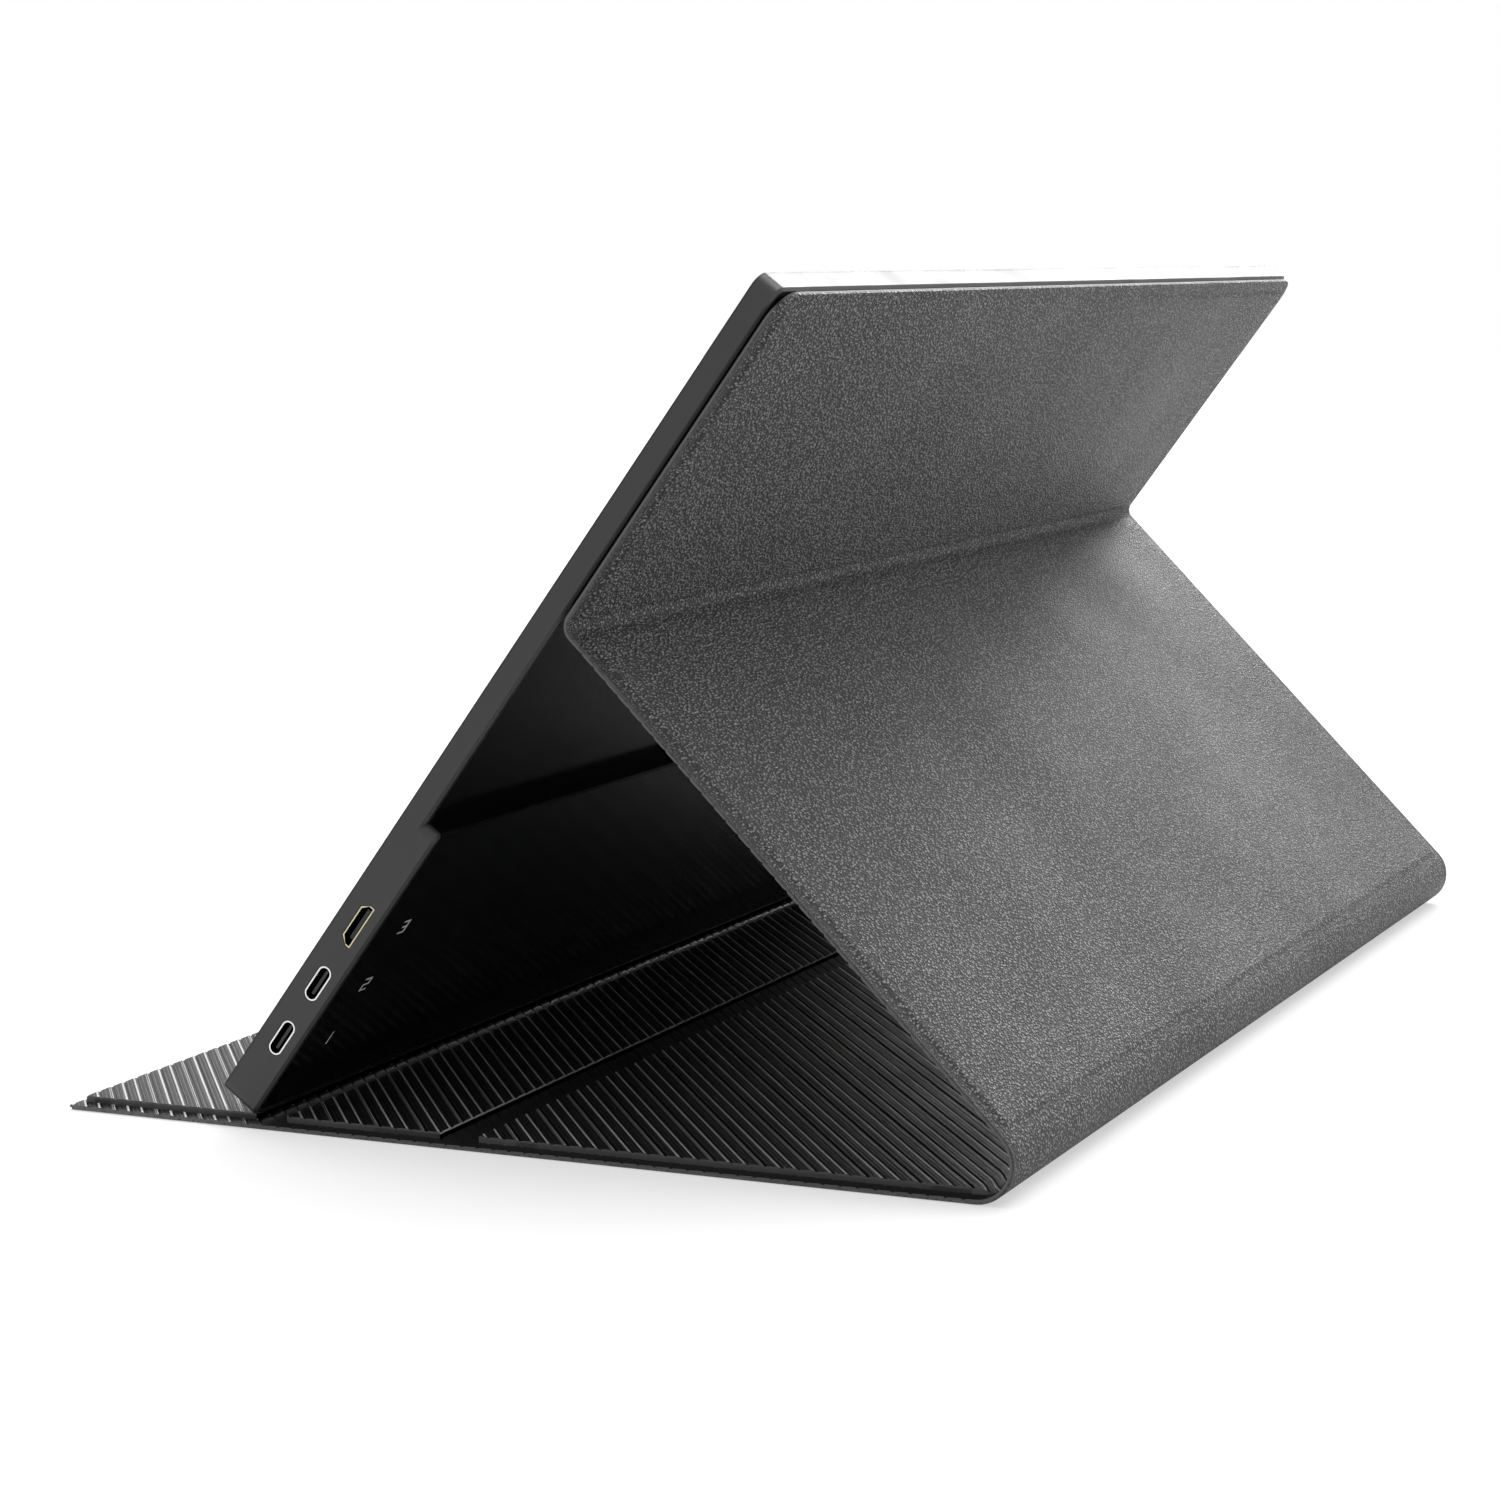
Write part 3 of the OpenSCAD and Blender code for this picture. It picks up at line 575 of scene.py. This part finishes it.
def smooth_step(a):
    """0 below 0, 1 above 1, and 3 a squared less 2 a cubed between."""
    a = np.clip(a, 0, 1)
    return a * a * (3 - 2 * a)


def rise_over(distance, slope):
    """Smooth step from 0 to 1 over a slope, its middle at distance 0."""
    return smooth_step(distance / slope + 0.5)


# How long the skin takes to climb onto a board: from a seam, at the support's foot, and below and
# above the valley
seam_slope, foot_slope, low_slope, high_slope = 1.8 * MM, 1.5 * MM, 4 * MM, 2 * MM


def across_board(x):
    """1 over a board's width, falling to 0 on the seams at its sides."""
    return rise_over(half_w - seam - np.abs(x), seam_slope)


def flat_at(node):
    """How far along the sheet a flat node of the base begins and ends."""
    low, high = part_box(node)
    return low.y - free_y, high.y - free_y


front_t, mid_t, rear_t = flat_at("front_skin"), flat_at("mid_skin"), flat_at("rear_skin")
valley_run = valley_r / math.tan((math.pi - valley_turn) / 2)
support_t = (support_at + tail, valley_at + valley_run - crease_half)
back_t = (back_at - valley_run + crease_half, sheet_end)


def board_lift(x, t):
    """How far the boards of the two standing panels lift the skin: smooth steps up from the seams
    at the sides, from the bends and from the seam along the top."""
    support = (rise_over(t - support_t[0] + 0.5 * MM, foot_slope)
               * rise_over(support_t[1] + 0.8 * MM - t, low_slope))
    back = (rise_over(t - back_t[0] + 2 * MM, high_slope)
            * rise_over(back_t[1] - seam - t, seam_slope))
    return emboss * across_board(x) * (support + back)


def panel_slab(t0, t1, outer, inner, corner_low=0.0, corner_high=0.0):
    """A closed layer of a panel between the depths outer(x, t) and inner(x, t); its free corners
    are quarter circles, which draw in only what lies in the fine strips."""
    t = stations(t0, t1, 6 * MM, (t0, t0 + 8 * MM, 32), (t1 - 9 * MM, t1, 48))
    X, T = np.meshgrid(stations_across(12 * MM, 40), t, indexing="ij")
    h0, h1 = outer(X, T), inner(X, T)
    hold = half_w - fine_w
    for corner, into in ((corner_low, T - t0), (corner_high, t1 - T)):
        if corner:
            drop = np.clip(corner - into, 0, corner)
            half = half_w - corner + np.sqrt(corner ** 2 - drop ** 2)
            outer_part = np.clip(np.abs(X) - hold, 0, None) * (half - hold) / (half_w - hold)
            X = np.sign(X) * (np.minimum(np.abs(X), hold) + outer_part)
    return slab(np.stack([X, T, h0], -1), np.stack([X, T, h1], -1))


def stand_for(piece, node, body):
    """Lets a piece stand for a CAD node, which it hides, and ride on a body."""
    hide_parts(node)
    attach(piece, body)


def add_skin(name, body, node, span, lift=False, **corners):
    """The skin of a panel, lifted over its board where lift is set, and skin_t thick."""
    def outer(x, t):
        return -board_lift(x, t) if lift else 0 * x

    points, faces = panel_slab(*span, outer, lambda x, t: outer(x, t) + skin_t, **corners)
    stand_for(sheet_piece(name, points, faces, leather), node, body)


add_skin("front_leather", "front_panel", "front_skin", front_t, corner_low=corner_front)
add_skin("mid_leather", "middle_panel", "mid_skin", mid_t)
add_skin("rear_leather", "rear_panel", "rear_skin", rear_t)
add_skin("support_leather", "support", "support_skin", support_t, lift=True)
add_skin("back_leather", "screen", "back_skin", back_t, lift=True, corner_high=corner_back)

# Cover: ribbed liner
# Embossed film with diagonal ribs, about three millimetres apart, and a fine
# cross-hatch on each rib, so that the foot of the monitor can't slip.

seam_t, panel_t = 1.0 * MM, 2.4 * MM
lip, foot_seam = 0.5 * MM, 1.8 * MM
rib_pitch, rib_turn = 3.0 * MM, math.radians(39)
rib_sharp_deg = 25
# One rib as (share of the pitch, height): groove, flat back, rounded lip
rib_shape = np.array([(0.00, -0.25), (0.08, -0.25), (0.14, -0.06), (0.62, -0.03), (0.80, 0.0),
                      (0.91, -0.02), (0.97, -0.25), (1.00, -0.25)])
rib_shape[:, 1] *= MM


def rib_height(q):
    """Height of the rib surface at a distance q square to the ribs."""
    return np.interp(np.mod(q / rib_pitch, 1.0), rib_shape[:, 0], rib_shape[:, 1])


def rib_distance(x, t):
    """Distance square to the ribs of a point of the sheet; a rib runs where it is constant."""
    return t * math.cos(rib_turn) - x * math.sin(rib_turn)


def rib_breaks(q0, q1, *more):
    """Every distance between q0 and q1 at which the rib's profile has a corner, and the ends."""
    low, high = min(q0, q1), max(q0, q1)
    n = np.arange(math.floor(low / rib_pitch), math.ceil(high / rib_pitch) + 1)
    q = ((n[:, None] + rib_shape[None, :-1, 0]) * rib_pitch).ravel()
    q = np.concatenate([q[(q > low) & (q < high)], [low, high], more])
    return np.unique(np.round(q, 9))


def ladder(first, second):
    """The points of two lines of equal length, and the faces that join them rung by rung."""
    n = len(first)
    k = np.arange(n - 1)
    return np.concatenate([first, second]), np.stack([k, k + 1, n + k + 1, n + k], -1).tolist()


def ribbed_rectangle(x0, x1, t0, t1, h):
    """Ribs clipped to a rectangle: each corner line of the profile is cut by the rectangle's
    sides, and neighbouring lines are joined by one long face."""
    corners = [rib_distance(x, t) for x in (x0, x1) for t in (t0, t1)]
    q = rib_breaks(min(corners), max(corners), *corners)
    sin, cos = math.sin(rib_turn), math.cos(rib_turn)
    ends = (np.maximum(t0, (q + x0 * sin) / cos), np.minimum(t1, (q + x1 * sin) / cos))
    return ladder(*(np.stack([(t * cos - q) / sin, t, h + rib_height(q)], -1) for t in ends))


def rib_wall(p0, p1, top, bottom, ribbed_foot=True):
    """An upright wall below a ribbed edge from p0 to p1: ruled down to ribs, or one face to a
    flat foot."""
    q = rib_breaks(rib_distance(*p0), rib_distance(*p1))
    share = (q - rib_distance(*p0)) / (rib_distance(*p1) - rib_distance(*p0))
    order = np.argsort(share)
    q, share = q[order], share[order, None]
    line = np.array(p0) * (1 - share) + np.array(p1) * share
    head = np.column_stack([line, top + rib_height(q)])
    if ribbed_foot:
        return ladder(head, np.column_stack([line, bottom + rib_height(q)]))
    foot = np.array([[*p1, bottom], [*p0, bottom]])
    return np.concatenate([head, foot]), [list(range(len(head) + 2))]


def gather(tops, sides):
    """Puts the (points, faces) of ribbed tops and of plain sides together, and counts the tops'
    faces."""
    points, faces, start = [], [], 0
    for p, f in tops + sides:
        points.append(p)
        faces += [[i + start for i in face] for face in f]
        start += len(p)
    return np.concatenate(points), faces, sum(len(f) for p, f in tops)


def ring(x0, x1, t0, t1):
    """The four sides of a rectangle, in order."""
    c = [(x0, t0), (x1, t0), (x1, t1), (x0, t1)]
    return list(zip(c, c[1:] + c[:1]))


def underside(x0, x1, t0, t1):
    """A flat face over a rectangle, on the skin."""
    return np.array([[*a, skin_t] for a, b in ring(x0, x1, t0, t1)]), [[0, 1, 2, 3]]


def liner_tray(t0, t1, b0, b1, board_h, seam_in_light):
    """A panel's liner: ribs over the board, upright walls round it, and ribs on the seam. A board
    that runs up to the panel's end at b1 = t1 has no wall there. On the panels that the monitor
    shades the seam counts with the plain sides, so that it is black there as painted shade."""
    edge = half_w - seam
    board = [ribbed_rectangle(-edge, edge, b0, b1, board_h)]
    seams = [ribbed_rectangle(edge, half_w, t0, t1, seam_t),
             ribbed_rectangle(-half_w, -edge, t0, t1, seam_t),
             ribbed_rectangle(-edge, edge, t0, b0, seam_t)]
    if b1 < t1:
        seams.append(ribbed_rectangle(-edge, edge, b1, t1, seam_t))
    sides = [rib_wall(*side, board_h, seam_t) for side in ring(-edge, edge, b0, b1)]
    sides += [rib_wall(*side, seam_t, skin_t, False) for side in ring(-half_w, half_w, t0, t1)]
    sides.append(underside(-half_w, half_w, t0, t1))
    # Where the monitor shades the panel the seam takes the plain black film, as painted shade
    return gather(board + seams, sides) if seam_in_light else gather(board, seams + sides)


liner_plain, tree, shader = new_material("liner_plain")
grain = put_group(tree, fine_grain, Size=0.5 * MM)
black_film = two_tone(tree, grain, (0.006, 0.006, 0.006), (0.014, 0.014, 0.014))
# The walls that face the spine (+Y) are painted pale, as a painted highlight where the panels fold
# against each other, but for the front panel's, right behind the monitor's foot, which stays in
# shade; those at the near side (+X) get a little painted highlight too
facing = add(tree, "TexCoord", {}).outputs
spine_wall_highlight = spread(tree, axis_of(tree, facing["Normal"], "Y"), 0.80, 0.95)
foot_end = free_y + front_t[1]
past_foot = spread(tree, axis_of(tree, facing["Object"], "Y"), foot_end + 2.5 * MM,
                   foot_end + 4.5 * MM)
near_side_highlight = spread(tree, axis_of(tree, facing["Normal"], "X"), 0.80, 0.95, 0.0, 0.13)
painted_wall_highlight = reckon(tree, "MAXIMUM", reckon(tree, "MULTIPLY", spine_wall_highlight, past_foot), near_side_highlight)
feed(tree, shader, {
    "Base Color": two_tone(tree, painted_wall_highlight, black_film, (0.80, 0.80, 0.802)),
    "Roughness": 0.5,
    "Specular IOR Level": 0.3,
    "Normal": raised(tree, grain, 0.03 * MM)})

liner_film, tree, shader = new_material("liner_film")
sheet_uv = add(tree, "UVMap", {}, uv_map="sheet").outputs["UV"]
along_ribs = add(tree, "Mapping", {"Vector": sheet_uv, "Rotation": (0, 0, -rib_turn)}).outputs[0]
# The hatch is in millimetres: small blocks with fine sunk lines between them
hatch = add(tree, "TexBrick", {"Vector": along_ribs, "Scale": 1000, "Brick Width": 1.0,
                               "Row Height": 0.9, "Mortar Size": 0.2,
                               "Mortar Smooth": 0.5}).outputs["Fac"]
weave = two_tone(tree, hatch, (0.850, 0.850, 0.855), (0.060, 0.060, 0.061))
# The lip of each rib is painted pale, as a painted highlight, and its groove black, as painted
# shade; the rib's flat back keeps a dark tone
in_rib = reckon(tree, "FRACT", reckon(tree, "DIVIDE", axis_of(tree, along_ribs, "Y"), rib_pitch))
rib_light_and_shade = add(tree, "ValToRGB", {"Fac": in_rib})
rib_light_stops = rib_light_and_shade.color_ramp.elements
rib_light_stops[0].position, rib_light_stops[1].position = 0.0, 0.16
rib_light_stops[0].color, rib_light_stops[1].color = (0.001, 0.001, 0.001, 1), (0.030, 0.030, 0.030, 1)
for at, level in ((0.70, 0.04), (0.75, 1.0), (0.90, 1.0), (0.93, 0.001)):
    rib_light_stops.new(at).color = (level, level, level, 1)
feed(tree, shader, {
    "Base Color": two_tone(tree, 1.0, weave, rib_light_and_shade.outputs["Color"], blend_type="MULTIPLY"),
    "Roughness": put_group(tree, cloudy, Size=40 * MM, Low=0.40, High=0.48),
    "Specular IOR Level": 0.2,
    "Normal": raised(tree, hatch, -0.12 * MM)})


def add_liner(name, body, node, span, low_seam, high_seam, lift, seam_in_light):
    """The liner of a panel whose seams at its two ends are low_seam and high_seam wide, and whose
    board is lower than panel_t by lift, which is raised on its other side."""
    t0, t1 = span
    points, faces, tops = liner_tray(t0, t1, t0 + low_seam, t1 - high_seam, panel_t - lift,
                                     seam_in_light)
    piece = sheet_piece(name, points, faces, liner_film, rib_sharp_deg, liner_plain, tops)
    stand_for(piece, node, body)


add_liner("front_ribs", "front_panel", "front_liner", front_t, foot_seam, lip, 0, True)
add_liner("mid_ribs", "middle_panel", "mid_liner", mid_t, lip, lip, 0, False)
add_liner("rear_ribs", "rear_panel", "rear_liner", rear_t, lip, 0, 0, False)
add_liner("support_ribs", "support", "support_liner", support_t, lip, lip, emboss, True)

# On the monitor's back the liner lies flat and fills what the board leaves under the skin
points, faces = panel_slab(
    *back_t, lambda x, t: skin_t + 0 * x,
    lambda x, t: seam_t + (panel_t - emboss - seam_t) * board_lift(x, t) / emboss,
    corner_high=corner_back)
stand_for(sheet_piece("back_lining", points, faces, liner_plain), "back_liner", "screen")

# Cover: soft bends
# Where the sheet has to turn it has no board: skin and liner alone are pressed
# together. They bend round the spine, in the fold and in the two creases.


def bend_piece(name, t0, t1, step, h0, h1, material, lift=None):
    """A strip of the sheet between two depths, with stations close enough to bend. lift(x, t)
    gives what is taken from the depths."""
    X, T = np.meshgrid(stations_across(20 * MM, 16), stations(t0, t1, step), indexing="ij")
    up = 0 * X if lift is None else lift(X, T)
    points, faces = slab(np.stack([X, T, h0 - up], -1), np.stack([X, T, h1 - up], -1))
    return sheet_piece(name, points, faces, material)


def even_blend(piece, bodies, circle, t0, t1):
    centre, turn_from, turn_all, t_from, t_all = circle
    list(bodies)
    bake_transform(piece)


spine_circle = (spine_mid, -math.pi / 2, math.pi - rise, spine_at, support_at - spine_at)
fold_circle = (valley_mid, math.pi * 1.5 - rise, -valley_turn, valley_at, back_at - valley_at)
spine_borders = np.linspace(rear_t[1], support_t[0], 7)
fold_borders = np.linspace(support_t[1], back_t[0], 4)

for bend, bodies, circle, borders, step in (
        ("spine", ("rear_panel", "support"), spine_circle, spine_borders, 0.4 * MM),
        ("fold", ("support", "screen"), fold_circle, fold_borders, 0.2 * MM)):
    for layer, node, slot, h0, h1, material, lift in (
            ("leather", "skin", "leather", 0, skin_t, leather, board_lift),
            ("lining", "liner", "liner", skin_t, seam_t, liner_plain, None)):
        for i, (t0, t1) in enumerate(zip(borders, borders[1:])):
            piece = bend_piece(f"{bend}_{layer}_{i + 1}", t0, t1, step, h0, h1, material, lift)
            even_blend(piece, bodies, circle, t0, t1)
            if i == 0:
                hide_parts(f"{bend}_{node}")


def ribbed_strip(half, cuts, top):
    """A closed strip of ribs across the sheet, cut into rows so that it can bend."""
    rows = list(zip(cuts, cuts[1:]))
    tops = [ribbed_rectangle(-half, half, lo, hi, top) for lo, hi in rows]
    sides = [rib_wall((-half, t), (half, t), top, skin_t, False) for t in (cuts[0], cuts[-1])]
    for lo, hi in rows:
        sides += [rib_wall((x, lo), (x, hi), top, skin_t, False) for x in (-half, half)]
        sides.append(underside(-half, half, lo, hi))
    return gather(tops, sides)


# Rows in which the ribs turn, on each strip of the spine and on a crease
spine_rows, crease_rows = 8, 12
# The rear panel's ribs run over the board's end and sink into the lining of the bend, a little
# below its face, over this length, so that each ends in a tip
run_out, sunk = 7.7 * MM, 0.1 * MM
for i in (0, 1):
    t0, t1 = spine_borders[i], spine_borders[i + 1]
    # The ribs are made at a stand-in height of 1 and then lowered along the fall
    points, faces, tops = ribbed_strip(half_w - seam, np.linspace(t0, t1, spine_rows + 1),
                                       1.0)
    top = points[:, 2] > 0.5
    share = smooth_step((points[top, 1] - rear_t[1]) / run_out)
    points[top, 2] += -1.0 + panel_t * (1 - share) + (seam_t - sunk) * share
    tips = sheet_piece(f"spine_ribs_{i + 1}", points, faces, liner_film, rib_sharp_deg,
                       liner_plain, tops)
    even_blend(tips, ("rear_panel", "support"), spine_circle, t0, t1)

for name, (a, b), (t0, t1) in (
        ("rear_crease", ("rear_panel", "middle_panel"), (mid_t[1], rear_t[0])),
        ("front_crease", ("middle_panel", "front_panel"), (front_t[1], mid_t[0]))):
    start, end = (0, free_y + t1, 0), (0, free_y + t0, 0)
    under = bend_piece(f"{name}_leather", t0, t1, 0.5 * MM, 0, skin_t, leather)
    points, faces, tops = ribbed_strip(half_w, np.linspace(t0, t1, crease_rows + 1), seam_t)
    over = sheet_piece(f"{name}_ribs", points, faces, liner_plain, rib_sharp_deg)
    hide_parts(name)
    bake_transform(under)
    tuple(start)
    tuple(end)
    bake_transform(over)
    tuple(start)
    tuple(end)
